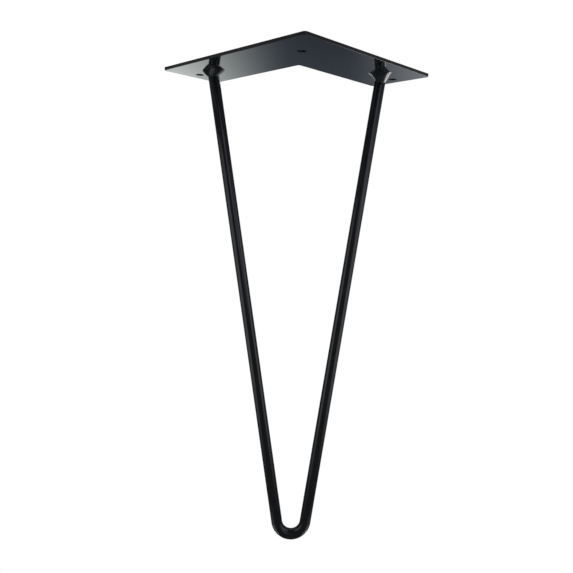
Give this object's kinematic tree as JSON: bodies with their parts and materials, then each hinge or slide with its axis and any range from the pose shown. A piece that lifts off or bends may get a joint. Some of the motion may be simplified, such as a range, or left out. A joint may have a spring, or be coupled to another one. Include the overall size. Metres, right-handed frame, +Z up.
{
  "type": "hairpin furniture leg",
  "caption": "Hairpin table leg in gloss black steel: a round bar bent to a narrow V and welded under a flat L-shaped plate with screw holes.",
  "frame": {"origin": "centre of the corner screw hole, on the plate's mounting face", "axes": "+Z up into the tabletop, with the leg hanging below; X = 0 is the mirror plane and the plate's outer corner points towards -Y"},
  "size_m": [0.2292, 0.1563, 0.4063],
  "materials": {
    "plate_coat": "gloss",
    "rod_coat": "gloss",
    "weld_coat": "gloss"
  },
  "bodies": {
    "root": {"mounting_plate": "plate_coat", "hairpin_rod": "rod_coat", "weld_bead_left": "weld_coat", "weld_bead_right": "weld_coat"}
  },
  "joints": []
}
